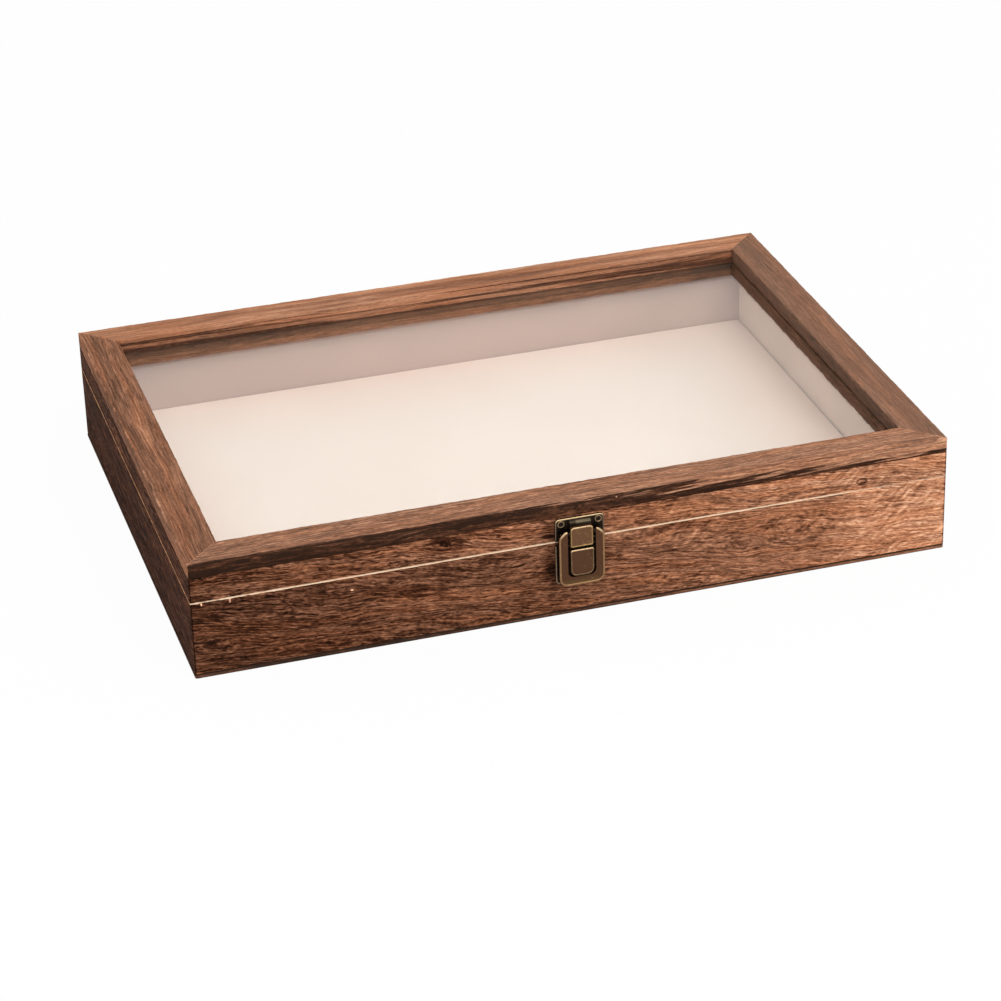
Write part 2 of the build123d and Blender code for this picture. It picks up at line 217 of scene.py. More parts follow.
class Graph:
    """The node tree of a material or of the world."""

    def __init__(self, owner):
        owner.use_nodes = True
        self.owner = owner
        self.tree = owner.node_tree
        self.tree.nodes.clear()

    def add(self, kind, settings=None, sockets=None, output=0):
        """Makes one node: its settings first, then its sockets' values or links. Returns one output."""
        node = self.tree.nodes.new(kind)
        for key, value in (settings or {}).items():
            if key == "stops":
                ramp = node.color_ramp
                while len(ramp.elements) < len(value):
                    ramp.elements.new(0.5)
                for element, (place, colour) in zip(ramp.elements, value):
                    element.position = place
                    element.color = (*colour, 1.0)
            else:
                setattr(node, key, value)
        for key, value in (sockets or {}).items():
            socket = node.inputs[key]
            if isinstance(value, Wire):
                self.tree.links.new(value.socket, socket)
            elif isinstance(value, tuple) and len(value) == 3 and socket.type == "RGBA":
                socket.default_value = (*value, 1.0)
            else:
                socket.default_value = value
        return Wire(self, node.outputs[output]) if len(node.outputs) else None

    def maths(self, operation, *values):
        return self.add("ShaderNodeMath", {"operation": operation}, dict(enumerate(values)))

    def absolute(self, value):
        return self.maths("ABSOLUTE", value)

    def vector(self, operation, first, second):
        return self.add("ShaderNodeVectorMath", {"operation": operation}, {0: first, 1: second})

    def coordinates(self):
        """Object coordinates."""
        return self.add("ShaderNodeTexCoord", output=3)

    def split(self, vector):
        node = self.add("ShaderNodeSeparateXYZ", {}, {0: vector}).socket.node
        return [Wire(self, out) for out in node.outputs]

    def combine(self, *parts):
        return self.add("ShaderNodeCombineXYZ", {}, dict(enumerate(parts)))

    def noise(self, vector, scales, shift=(0.0, 0.0, 0.0), detail=2.0, rough=0.5, colour=False):
        """Noise on coordinates stretched by one factor per axis."""
        stretched = self.vector("MULTIPLY", vector, scales)
        moved = self.vector("ADD", stretched, shift)
        return self.add("ShaderNodeTexNoise", {}, {"Vector": moved, "Scale": 1.0, "Detail": detail,
                                                   "Roughness": rough}, output=1 if colour else 0)

    def even_noise(self, vector, scale, shift=(0.0, 0.0, 0.0), **kind):
        """Noise with one scale for all the axes."""
        return self.noise(vector, (scale, scale, scale), shift, **kind)

    def step(self, value, low, high):
        """0 below low, 1 above high and smooth between them."""
        return self.add("ShaderNodeMapRange", {"interpolation_type": "SMOOTHSTEP"},
                        {0: value, 1: low, 2: high, 3: 0.0, 4: 1.0})

    def fall(self, across, up):
        """A hill that is 1 at the middle and falls off with the square of the distance."""
        return self.maths("EXPONENT", (across ** 2.0 + up ** 2.0) * -1.0)

    def oval(self, across, up):
        """1 inside the unit circle of the two shares, 0 outside."""
        return 1.0 - self.step(across ** 2.0 + up ** 2.0, 0.6, 1.3)

    def past_outline(self, x, y, inset=0.0):
        """How far a point lies outside the case's outline when that is drawn in by the inset."""
        over_x = self.absolute(x) - (HALF_LENGTH - inset)
        over_y = self.absolute(y) - (HALF_DEPTH - inset)
        return self.maths("MAXIMUM", over_x, over_y)

    def ramp(self, value, stops):
        return self.add("ShaderNodeValToRGB", {"stops": stops}, {0: value})

    def mix(self, factor, first, second, mode="MIX"):
        return self.add("ShaderNodeMix", {"data_type": "RGBA", "blend_type": mode},
                        {0: factor, 6: first, 7: second}, output=2)

    def bump(self, height, distance, strength):
        return self.add("ShaderNodeBump", {}, {"Strength": strength, "Distance": distance, "Height": height})

    def shader(self, sockets):
        return self.add("ShaderNodeBsdfPrincipled", {}, sockets)

    def finish(self, surface):
        """Links the surface to the output and returns the material."""
        self.add("ShaderNodeOutputMaterial", {}, {"Surface": surface})
        return self.owner


def material_graph(name):
    """The empty node tree of a new material."""
    return Graph(bpy.data.materials.new(name))


# Wood tones from charred to the palest brushed streaks
CHAR_TO_TAN = [
    (0.00, srgb(30, 15, 8)),
    (0.15, srgb(58, 31, 18)),
    (0.30, srgb(92, 57, 39)),
    (0.50, srgb(141, 95, 70)),
    (0.70, srgb(188, 131, 99)),
    (1.00, srgb(250, 199, 162)),
]
# How far up the lid's front edge the char reaches, from the left end to the right
CHAR_COVER = [(place, (share, share, share)) for place, share in (
    (0.00, 1.45), (0.20, 1.20), (0.34, 1.30), (0.46, 1.20),
    (0.54, 1.00), (0.66, 0.70), (0.80, 0.44), (1.00, 0.16))]
CHARCOAL = srgb(62, 42, 31)
ASH = srgb(122, 106, 94)
SCORCHED_SEAM = srgb(236, 180, 132)
WARM_TINT = (1.1, 0.97, 0.84)
BLACKENED = srgb(44, 35, 28)

# Factors on the pad's colour: in its clouds, in a painted warm shade towards its edges and in a painted shade
# at its right end
PAD_CLOUD = (0.975, 0.965, 0.955)
PAD_EDGE_PAINTED_WARM_SHADE = (1.0, 0.94, 0.91)
PAD_SHADE = (0.88, 0.86, 0.845)

# The wood of each side, as scorched_wood takes it
BACK_WOOD = dict(seed=6.1, level=0.50, contrast=0.85, run=1.15)
RIGHT_WOOD = dict(seed=9.4, level=0.55, contrast=0.85, run=1.15)
LOOKS = {
    "wall": {
        # On the front wall, the soft oval left of the latch in `painted_shadows` is the latch's painted shadow.
        "front": dict(seed=1.3, level=0.412, contrast=0.82, drift=1.22, tilt=0.12, run=1.15, figure=0.22,
                      painted_corner_shade=0.3, painted_shadows=((-11.2, 21.5, 3.4, 11.0, 0.32),),
                      marks=((-91.7, 27.2, 0.55, 0.4, -1.0), (-150.5, 32.0, 0.35, 0.7, -0.8),
                             (-139.5, 31.7, 0.4, 0.9, -0.6), (150.0, 18.0, 42.0, 40.0, -0.12))),
        "back": BACK_WOOD,
        # The left side's low level is partly the wood's own dark tone and partly painted shade on the side
        # turned from the lamp.
        "left": dict(seed=2.2, level=0.18, contrast=0.6, run=2.0),
        "right": RIGHT_WOOD,
    },
    "rim": {
        # On the front rim too, the soft oval left of the latch in `painted_shadows` is the latch's painted
        # shadow.
        "front": dict(seed=1.3, level=0.469, contrast=0.88, drift=1.13, tilt=0.12, run=1.15, figure=0.2,
                      painted_corner_shade=0.3, knots=((-54.0, 40.2, 8.0, 3.6),), painted_shadows=((-11.2, 36.0, 3.4, 6.0, 0.3),),
                      marks=((-54.0, 40.4, 2.4, 1.3, 0.2), (118.5, 36.8, 2.6, 1.5, 0.4),
                             (118.4, 36.8, 1.5, 0.7, -0.2))),
        "back": BACK_WOOD,
        # As on the wall, the left rim's low level is partly the wood's own dark tone and partly painted shade
        # on the side turned from the lamp.
        "left": dict(seed=2.2, level=0.20, contrast=0.75, run=2.0),
        "right": RIGHT_WOOD,
    },
    "frame": {
        "front": dict(seed=8.2, level=0.58, contrast=0.78, drift=0.38, bands=0.12, run=1.6, wave=0.7, grey=0.24,
                      mitre=0.16, charred=True,
                      marks=((15.6, 48.3, 0.36, 0.36, -0.7), (152.5, 49.4, 2.5, 0.6, -0.2))),
        # `inner` on the back and right rails is painted shade on their faces round the glass.
        "back": dict(seed=10.4, level=0.65, contrast=0.4, bands=1.7, run=2.6, wave=0.3, grey=0.12, worn=0.12,
                     inner=0.1, grooves=0.3),
        "left": dict(seed=11.3, level=0.49, contrast=0.55, bands=1.0, run=2.6, wave=0.22, grey=0.14, worn=0.25,
                     mitre=0.12),
        "right": dict(seed=13.9, level=0.52, contrast=0.4, bands=0.8, run=2.6, wave=0.3, grey=0.4, worn=0.1,
                      inner=0.16),
    },
}
# The board's dark marks along its upper and lower edges are painted shade: in the gap under the walls and where
# it stands on the floor.
BOARD_LOOK = dict(seed=12.7, level=0.27, contrast=0.5, drift=1.5, grey=0.1,
                  marks=((0.0, BOARD_HIGH.z / MM, 500.0, 0.45, 0.45), (0.0, BOARD_LOW.z / MM, 500.0, 0.35, 0.3),
                         (-148.0, 0.9, 14.0, 6.0, -0.25)))
# The long beads' dark marks are painted shade: below the frame along their top, and at their right end.
LONG_BEAD_LOOK = dict(seed=14.8, level=0.43, contrast=0.55, run=2.0, grey=0.3,
                      marks=((0.0, 41.5, 500.0, 2.6, 0.22), (150.0, 38.0, 30.0, 20.0, 0.2)))
SHORT_BEAD_LOOK = dict(seed=15.2, level=0.34, contrast=0.55, run=2.0, grey=0.3)

# Bare wood at the seam: a share of the raw line's height, and how much of it shows
BARE_EDGES = {
    "wall": {"front": (1.0, 1.0), "back": (0.8, 0.85), "left": (1.0, 0.9), "right": (0.8, 0.85)},
    "rim": {"front": (0.6, 0.9), "back": (0.5, 0.8), "left": (0.6, 0.8), "right": (0.5, 0.8)},
}
# How much more the frame's edges round the glass are worn than its outer edges
FRAME_CHIPPING = {"front": 1.4, "back": 2.0, "left": 2.6, "right": 3.6}
BEAD_CHIPPING = 3.0


def scorched_wood(name, side, seed, level, contrast, drift=0.0, tilt=0.0, run=1.0, wave=1.0, bands=0.32,
                  grey=0.0, figure=0.0, worn=0.0, mitre=0.0, painted_corner_shade=0.0, inner=0.0, grooves=0.0, charred=False,
                  bare=None, knots=(), marks=(), painted_shadows=()):
    """Scorched, brushed softwood with its grain along one side of the case.

    The tone is a sum of noises stretched along the grain, read on coordinates that slower noises and the knots
    bend. `level` is its middle, `drift` its rise per metre along the case, `tilt` the fall of the grain. `run`
    makes the lines longer, `wave` bends them more and `bands` is the strength of the wide streaks. `figure` to
    `grooves` are the strengths of the ripple, the bared edges, the mitre line, the painted shade on the upright
    corner edges, the painted shade on the faces round the glass and their cuts. Marks are ovals that darken the
    tone, or pale it if negative, and `painted_shadows`, painted shadows such as the latch's, have soft borders:
    x, z, half width and half height in millimetres, then a depth.
    """
    g = material_graph(name)
    plain = g.coordinates()
    place = plain
    if SIDES[side][0] == "y":
        place = g.add("ShaderNodeMapping", {}, {"Vector": plain, "Rotation": (0.0, 0.0, math.pi / 2)})
    here = along, across, height = g.split(place)
    offset = (seed * 3.7, seed * 5.3, seed * 7.9)
    a, b, c = offset

    def spot(shape, x, z, half_width, half_height):
        return shape((along - x * MM) / (half_width * MM), (height - z * MM) / (half_height * MM))

    level = level + along * drift
    rise = height + along * tilt
    for knot in knots:
        eye = spot(g.fall, *knot)
        rise = rise - (height - knot[1] * MM) * eye * 0.8
        level = level - eye * 0.2
    for shape, places in ((g.oval, marks), (g.fall, painted_shadows)):
        for *where, depth in places:
            level = level - spot(shape, *where) * depth
    place = g.combine(along, across, rise)
    bent = bent_grain(g, place, offset, run, wave)

    def lines(along_scale, cross_scale, shift=offset, **kind):
        return g.noise(bent, (along_scale, cross_scale, cross_scale), shift, **kind)

    streak = lines(8.0, 170.0)
    grain = lines(56.0 / run, 1350.0, rough=0.55)
    line = g.step(grain, 0.34, 0.66)
    fleck = lines(250.0 / run, 2150.0, detail=1.0, rough=0.6)
    pore = g.step(lines(90.0 / run, 1700.0, (b, c, a), detail=1.0), 0.60, 0.68)
    speck = lines(560.0, 1500.0, (c, b, a), detail=1.0)
    fine = (line - 0.5) * 0.33 + (fleck - 0.5) * 0.8 + (speck - 0.5) * 0.5 - pore * 0.14
    tone = (streak - 0.5) * (bands * contrast) + fine * contrast + level
    if figure:
        tone = tone + curled(g, here, offset) * (along * 9.0 + 1.0) * figure
    if charred:
        burnt = heartwood(g, here, offset)
        tone = tone - burnt * (0.80 - streak * 0.66)
    if worn:
        tone = tone + worn_edge(g, plain, offset) * worn
    if mitre:
        tone = tone + mitre_line(g, plain) * mitre
    # Painted shade on the upright corner edges, where the rounded corner turns from the light.
    if painted_corner_shade:
        tone = tone - g.step(g.absolute(along), HALF_LENGTH - 1.0 * MM, HALF_LENGTH - 0.3 * MM) * painted_corner_shade
    # Painted shade on the frame's faces round the glass, with their cuts.
    if inner:
        cut = g.noise(place, (9.0, 60.0, 800.0), offset, detail=1.0)
        painted_shade_and_cuts = (streak - 0.5) * 1.5 * inner + inner + g.step(cut, 0.5, 0.58) * grooves
        tone = tone - inner_face(g, plain) * painted_shade_and_cuts
    colour = g.ramp(tone, CHAR_TO_TAN)
    warm = lines(14.0, 260.0, (c, a, b))
    colour = g.mix(g.step(warm, 0.42, 0.62) * 0.8, colour, WARM_TINT, "MULTIPLY")
    if charred:
        colour = g.mix(burnt * 0.36, colour, CHARCOAL)
    if grey:
        colour = g.mix((1.0 - burnt) * grey if charred else grey, colour, ASH)
    if bare:
        reach, shown, above, tint = bare
        colour = g.mix(bare_edge(g, along, height, plain, offset, reach, above) * shown, colour, tint)
    relief = grain * 0.5 + fleck * 0.35 - pore * 0.25
    return g.finish(g.shader({
        "Base Color": colour,
        "Roughness": 0.8 - (fleck - 0.5) * 0.5,
        "Specular IOR Level": 0.04,
        "Normal": g.bump(relief, 0.25 * MM, 0.35),
    }))


def bent_grain(g, place, offset, run, wave):
    """The coordinates pushed across the grain by a slow, a middle and a quick noise."""
    a, b, c = offset
    middle = (g.noise(place, (36.0 / run, 110.0, 110.0), (b, c, a), detail=1.0, colour=True), 5.0 * MM * wave)
    slow = (g.noise(place, (11.0, 55.0, 55.0), offset, colour=True), 9.0 * MM)
    quick = (g.noise(place, (170.0 / run, 300.0, 300.0), offset, colour=True), 1.5 * MM * wave)
    for push, reach in (slow, middle, quick):
        centred = g.vector("SUBTRACT", push, (0.5, 0.5, 0.5))
        place = g.vector("ADD", place, g.vector("MULTIPLY", centred, (0.0, reach, reach)))
    return place


def heartwood(g, here, offset):
    """How much the charred heartwood covers the lid's front edge.

    It reaches from the lower edge up to a share of the height that changes along the case. Noises stretched
    along slanted and along level lines pull its border into streaks.
    """
    a, b, c = offset
    along, across, height = here
    cover = g.ramp((along + HALF_LENGTH) / (2 * HALF_LENGTH), CHAR_COVER)
    climb = (height - FRAME_BOTTOM) / (TOP_Z - FRAME_BOTTOM)
    slanted = g.noise(g.combine(along, across, height - along * 0.055), (22.0, 40.0, 520.0), offset, rough=0.6)
    flat = g.noise(g.combine(*here), (30.0, 40.0, 700.0), (b, a, c), rough=0.6)
    pull = (slanted - 0.5) * 2.6 + (flat - 0.5) * 1.6
    inside = g.step(cover + pull - climb, -0.1, 0.14)
    on_face = 1.0 - g.step(across, -HALF_DEPTH + 0.15 * MM, -HALF_DEPTH + 0.55 * MM)
    return inside * on_face * (1.0 - climb * 0.16)


def curled(g, here, offset):
    """The ripple figure: narrow stripes that lean across the grain, in patches, between -1 and 1."""
    a, b, c = offset
    along, across, height = here
    lean = g.combine(along - height * 1.1, across, height + along * 0.45)
    stripes = g.noise(lean, (360.0, 60.0, 120.0), offset)
    patches = g.noise(g.combine(*here), (26.0, 60.0, 60.0), (c, a, b))
    return (stripes - 0.5) * g.step(patches, 0.42, 0.62) * 2.0


def worn_edge(g, plain, offset):
    """1 where brushing has bared the upper outer edges, in patches along them."""
    x, y, z = g.split(plain)
    outer = g.step(g.past_outline(x, y, 1.1 * MM), 0.0, 1.0 * MM)
    upper = g.step(z, TOP_Z - 1.1 * MM, TOP_Z - 0.3 * MM)
    return outer * upper * g.step(g.even_noise(plain, 170.0, offset, detail=3.0), 0.42, 0.62)


def inner_face(g, plain):
    """1 on the frame's faces round the glass."""
    x, y, z = g.split(plain)
    return 1.0 - g.step(g.past_outline(x, y, FRAME_WIDTH), 0.1 * MM, 0.7 * MM)


def mitre_line(g, plain):
    """1 on the line where two sides meet at 45 degrees."""
    x, y, z = g.split(plain)
    away = g.absolute(g.absolute(x) - g.absolute(y) - (HALF_LENGTH - HALF_DEPTH))
    return 1.0 - g.step(away, 0.1 * MM, 0.55 * MM)


def bare_edge(g, along, height, plain, offset, reach, above):
    """The bare sawn wood within reach of the seam, above or below it, broken by noise.

    It is chipped wider at the left end, fades before the right end and is weaker inside the joint.
    """
    uneven = g.noise(plain, (330.0, 330.0, 60.0), offset, detail=3.0, rough=0.6)
    away = height - SEAM_Z if above else SEAM_Z - height
    chipped = 1.0 - g.step(along, 30 * MM - HALF_LENGTH, 42 * MM - HALF_LENGTH)
    swing = (uneven - 0.5) * (chipped * 1.4 + 0.3) * reach
    mask = 1.0 - g.step(away + swing, reach * 0.62, reach * 0.98)
    faded = g.step(along, HALF_LENGTH - 52 * MM, HALF_LENGTH - 24 * MM)
    x, y, z = g.split(plain)
    outer = g.step(g.past_outline(x, y), -0.9 * MM, -0.4 * MM)
    return mask * (1.0 - faded * 0.65) * (outer * 0.6 + 0.4)


def paper(name, colour):
    """Smooth lining paper: even colour with a faint cloud and fibre relief."""
    g = material_graph(name)
    place = g.coordinates()
    cloud = g.even_noise(place, 14.0, detail=3.0)
    fibre = g.even_noise(place, 900.0)
    dim = tuple(c * 0.9 for c in colour)
    return g.finish(g.shader({
        "Base Color": g.mix(g.step(cloud, 0.3, 0.7), dim, colour),
        "Roughness": 0.82 + (fibre - 0.5) * 0.1,
        "Specular IOR Level": 0.2,
        "Normal": g.bump(fibre, 0.04 * MM, 0.5),
    }))


def pad_cover(name, colour):
    """The pad's fine matt cover: soft clouds of tone, painted warm shade towards the edges, painted shade at
    the right and a close weave.
    """
    g = material_graph(name)
    place = g.coordinates()
    cloud = g.even_noise(place, 9.0, (2.0, 5.0, 1.0), detail=4.0, rough=0.6)
    weave = g.noise(place, (1400.0, 1400.0, 400.0))
    dim = tuple(c * factor for c, factor in zip(colour, PAD_CLOUD))
    x, y, z = g.split(place)
    # Painted warm shade towards the pad's edges, and painted shade towards its right end.
    edge = g.step(g.past_outline(x, y), -60 * MM, -5 * MM)
    shade = g.step(x, 55 * MM, 145 * MM)
    cover = g.mix(g.step(cloud, 0.35, 0.65), dim, colour)
    return g.finish(g.shader({
        "Base Color": g.mix(shade, g.mix(edge, cover, PAD_EDGE_PAINTED_WARM_SHADE, "MULTIPLY"), PAD_SHADE, "MULTIPLY"),
        "Roughness": 0.9 + (weave - 0.5) * 0.1,
        "Specular IOR Level": 0.15,
        "Normal": g.bump(weave, 0.05 * MM, 0.4),
    }))


def clear_glass(name, ior):
    """Clear glass that lets the lamps' light through."""
    g = material_graph(name)
    glass = g.shader({"Base Color": (0.97, 0.985, 0.975), "Roughness": 0.0, "IOR": ior,
                      "Transmission Weight": 1.0})
    open_way = g.add("ShaderNodeBsdfTransparent", {}, {"Color": (0.94, 0.955, 0.945)})
    shadow = g.add("ShaderNodeLightPath", output="Is Shadow Ray")
    return g.finish(g.add("ShaderNodeMixShader", {}, {0: shadow, 1: glass, 2: open_way}))


def bronze(name, dark, worn, wear, gloss=0.36, lift=None, painted_highlight=None, sunk=None):
    """Antique bronze: dark patina with brighter rubbed clouds and fine scratches.

    `lift` brightens it to a colour between two heights; on the rims that is a painted highlight along their
    upper runs. `painted_highlight` is a painted highlight: it gives a colour to what stands out past a depth,
    most of all at one height, faintly up to a place across, as painted shade, and fully beyond it. `sunk` is
    painted shade: it gives a colour to all that lies behind a depth.
    """
    g = material_graph(name)
    place = g.coordinates()
    across, depth, height = g.split(place)
    cloud = g.even_noise(place, 420.0, (4.0, 1.0, 6.0), detail=4.0, rough=0.65)
    speck = g.even_noise(place, 2600.0)
    rubbed = g.step(cloud + (speck - 0.5) * 0.35, 0.66 - wear * 0.5, 0.9 - wear * 0.5)
    colour = g.mix(rubbed, tuple(dark), tuple(worn))
    if lift:
        low, high, bright = lift
        colour = g.mix(g.step(height + (cloud - 0.5) * (0.8 * MM), low, high), colour, tuple(bright))
    # Painted highlight on the hook's lit top, faint as painted shade on its left part.
    if painted_highlight:
        limit, start, bend, tint = painted_highlight
        stands = 1.0 - g.step(depth, limit - 0.2 * MM, limit + 0.2 * MM)
        lit = 1.0 - g.step(g.absolute(height - bend), 0.25 * MM, 0.6 * MM)
        lit = (lit * 0.88 + 0.12) * (g.step(across, start, start + 1.2 * MM) * 0.8 + 0.2)
        colour = g.mix(stands * lit, colour, tuple(tint))
    # Painted shade on what lies behind the depth, such as the sides of the lever's window.
    if sunk:
        limit, tint = sunk
        colour = g.mix(g.step(depth, limit - 0.1 * MM, limit + 0.1 * MM), colour, tuple(tint))
    return g.finish(g.shader({
        "Base Color": colour,
        "Metallic": 1.0,
        "Roughness": gloss + 0.14 - rubbed * 0.12 + (speck - 0.5) * 0.15,
        "Normal": g.bump(cloud + speck * 0.3, 0.05 * MM, 0.35),
    }))


# Meshes

def placed(name, data):
    """A new object in the scene."""
    item = bpy.data.objects.new(name, data)
    bpy.context.scene.collection.objects.link(item)
    return item


def as_piece(name, mesh, material, angle):
    """An object with one material, smooth but for the edges sharper than the angle in degrees."""
    mesh.materials.clear()
    mesh.materials.append(material)
    mesh.polygons.foreach_set("use_smooth", np.ones(len(mesh.polygons), bool))
    mesh.set_sharp_from_angle(angle=math.radians(angle))
    return placed(name, mesh)


def build(name, verts, faces, material, angle):
    """A closed, smooth-shaded mesh at the origin, its doubles merged and its faces turned outwards."""
    mesh = bpy.data.meshes.new(name)
    mesh.from_pydata(verts, [], faces)
    work = bmesh.new()
    work.from_mesh(mesh)
    bmesh.ops.remove_doubles(work, verts=work.verts, dist=1e-7)
    bmesh.ops.recalc_face_normals(work, faces=work.faces)
    work.to_mesh(mesh)
    work.free()
    return as_piece(name, mesh, material, angle)


def ring_faces(rows, columns, capped=True):
    """Quads between consecutive closed rings and, if capped, a face on the first and on the last ring."""
    here = np.arange(rows * columns).reshape(rows, columns)
    after = np.roll(here, -1, axis=1)
    faces = np.stack([here[:-1], after[:-1], after[1:], here[1:]], axis=-1).reshape(-1, 4).tolist()
    if capped:
        faces += [here[0].tolist(), here[-1].tolist()]
    return faces


def from_rings(name, rings, material, angle):
    """One closed surface through equal rings of points, shape (rings, points, 3)."""
    rows, columns = rings.shape[:2]
    return build(name, rings.reshape(-1, 3).tolist(), ring_faces(rows, columns), material, angle)


def joined(parts):
    """The points and the faces of several parts, each given as such a pair, as one pair of lists."""
    verts, faces = [], []
    for points, quads in parts:
        faces += [[i + len(verts) for i in face] for face in quads]
        verts += points.tolist()
    return verts, faces


def waves(first, second, seed, lengths):
    """Smooth unevenness in -1 to 1: a mean of sines in two directions, one per wavelength, seeded phases."""
    draw = np.random.default_rng(seed)
    total = np.zeros(np.broadcast(first, second).shape)
    for length in lengths:
        heading = draw.uniform(-0.6, 0.6)
        phase = draw.uniform(0, 2 * math.pi)
        total = total + np.sin(2 * math.pi * (first + heading * second) / length + phase)
    return total / len(lengths)


def rounded_section(outer, inner, low, high, radii):
    """A closed section as (inset, z, edge weight): straight runs joined by quarter arcs.

    `radii` are those of the outer low, outer high, inner high and inner low edges. The weight is 1 on an arc.
    """
    corners = [(outer, low), (outer, high), (inner, high), (inner, low)]
    starts = [math.pi * 1.5, math.pi, math.pi / 2, 0.0]
    points = []
    for index, ((s, z), radius, start) in enumerate(zip(corners, radii, starts)):
        toward = np.array([1 if s == outer else -1, 1 if z == low else -1])
        centre = np.array([s, z]) + toward * radius
        for share in np.linspace(0, 1, 5):
            turn = start - share * math.pi / 2
            points.append((centre[0] + radius * math.cos(turn), centre[1] + radius * math.sin(turn), 1.0))
        following = (index + 1) % len(corners)
        target = np.array(corners[following])
        ahead = (target - (s, z)) / np.linalg.norm(target - (s, z))
        first = (s, z) + ahead * radius
        last = target - ahead * radii[following]
        count = max(2, int(np.linalg.norm(last - first) / SECTION_STEP))
        for share in np.linspace(0, 1, count + 1)[1:-1]:
            middle = first + (last - first) * share
            points.append((middle[0], middle[1], 0.0))
    return np.array(points)


def inward_normals(inset, level):
    """Unit normals of a closed section that point towards its middle, as two rows."""
    normals = np.stack([np.roll(level, -1) - np.roll(level, 1), np.roll(inset, 1) - np.roll(inset, -1)])
    normals = normals / np.hypot(normals[0], normals[1])
    toward = np.stack([inset.mean() - inset, level.mean() - level])
    return normals * np.sign(toward[0] * normals[0] + toward[1] * normals[1])


def eased_corners(x, y, radius):
    """Draws what stands out past the rounded upright corners in to their arcs."""
    centre_x, centre_y = HALF_LENGTH - radius, HALF_DEPTH - radius
    over_x, over_y = np.abs(x) - centre_x, np.abs(y) - centre_y
    distance = np.hypot(over_x, over_y)
    outside = (over_x > 0) & (over_y > 0) & (distance > radius)
    pull = radius / np.maximum(distance, 1e-9)
    eased_x = np.sign(x) * (centre_x + over_x * pull)
    eased_y = np.sign(y) * (centre_y + over_y * pull)
    return np.where(outside, eased_x, x), np.where(outside, eased_y, y)


def plank(name, side, node, radii, wood, material, seed, inner_wear):
    """One mitred side: its rounded section carried along the side, each point as far as its mitre plane.

    A point at inset s from the outline runs to the half length less s, so both ends lie in 45 degree planes.
    It sinks by a small unevenness, most along the edges, and the upright corner is drawn in to an arc.
    """
    along_axis, sign = SIDES[side]
    low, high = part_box(node)
    axis = 1 if along_axis == "x" else 0
    outer_half = HALF_DEPTH if axis else HALF_LENGTH
    along_half = HALF_LENGTH if axis else HALF_DEPTH
    reach = (abs(low[axis]), abs(high[axis]))
    section = rounded_section(outer_half - max(reach), outer_half - min(reach), low.z, high.z, radii)
    inset, level, edge = section.T
    normal_s, normal_z = inward_normals(inset, level)

    count = int(along_half * 2 / ALONG_STEP)
    travel = np.linspace(-1, 1, count)[:, None] * (along_half - inset)
    around = np.arange(len(inset))[None, :] * AROUND_STEP
    uneven = 0.5 + 0.5 * waves(travel, around, seed, WEAR_WAVES)
    chipping = np.where(inset > inset.mean(), inner_wear, 1.0)
    sink = (wood.wear * edge * chipping + FACE_WEAR) * uneven
    across = sign * (outer_half - (inset + normal_s * sink))
    z = level + normal_z * sink

    x, y = (travel, across) if axis else (across, travel)
    x, y = eased_corners(x, y, wood.corner_ease)
    return from_rings(name, np.stack([x, y, z], axis=-1), material, angle=50.0)


def rounded_outline(half_x, half_y, radius):
    """Points round a rectangle with quarter-circle corners, all arcs with the same number of points."""
    points = []
    for cx, cy, start in ((1, 1, 0), (-1, 1, 90), (-1, -1, 180), (1, -1, 270)):
        turn = np.radians(np.linspace(start, start + 90, 9))
        points.append(np.stack([cx * (half_x - radius) + radius * np.cos(turn),
                                cy * (half_y - radius) + radius * np.sin(turn)], axis=-1))
    return np.concatenate(points)


def slab(name, low, high, radius, rounding, material):
    """A rounded plate: its outline drawn in over quarter arcs at the bottom and at the top."""
    half_x, half_y = (high.x - low.x) / 2, (high.y - low.y) / 2
    turns = [share * math.pi / 2 for share in np.linspace(0, 1, 6)]
    levels = [(rounding * (1 - math.sin(turn)), low.z + rounding * (1 - math.cos(turn))) for turn in turns]
    levels += [(rounding * (1 - math.cos(turn)), high.z - rounding * (1 - math.sin(turn))) for turn in turns]
    rings = []
    for inset, z in levels:
        outline = rounded_outline(half_x - inset, half_y - inset, max(radius - inset, 0.1 * MM))
        rings.append(np.column_stack([outline, np.full(len(outline), z)]))
    return from_rings(name, np.array(rings), material, angle=40.0)


